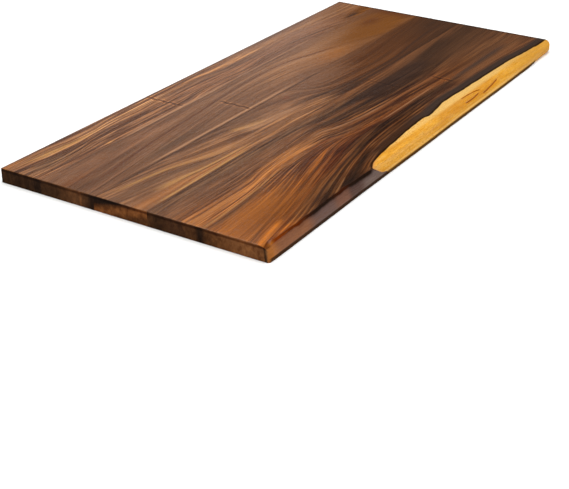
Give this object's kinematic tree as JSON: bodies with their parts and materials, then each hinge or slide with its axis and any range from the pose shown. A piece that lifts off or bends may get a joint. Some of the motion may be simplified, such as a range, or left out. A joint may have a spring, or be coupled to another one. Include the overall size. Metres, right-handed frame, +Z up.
{
  "type": "live-edge walnut table top",
  "caption": "Solid walnut table top of long boards glued edge to edge, straight along the back and with a bevelled natural live edge along the front.",
  "frame": {"origin": "on the underside, at the middle of the panel's bounding box", "axes": "+X along the grain from the near end to the far end, +Y towards the straight back edge, +Z up out of the show face"},
  "size_m": [1.22, 0.5838, 0.0286],
  "materials": {
    "back_walnut": "satin oil on sanded walnut heartwood, straight pinstripe grain with a golden streak",
    "arch_walnut": "satin oil on sanded walnut heartwood, plain red-brown with one long dark arch",
    "flame_walnut": "satin oil on sanded walnut heartwood, tan flames over dark nested arcs",
    "live_edge_walnut": "satin oil on walnut, dark heartwood with golden sapwood and a trace of dark bark along the live edge"
  },
  "bodies": {
    "root": {"back_board": "back_walnut", "arch_board": "arch_walnut", "flame_board": "flame_walnut", "live_edge_board": "live_edge_walnut"}
  },
  "joints": []
}
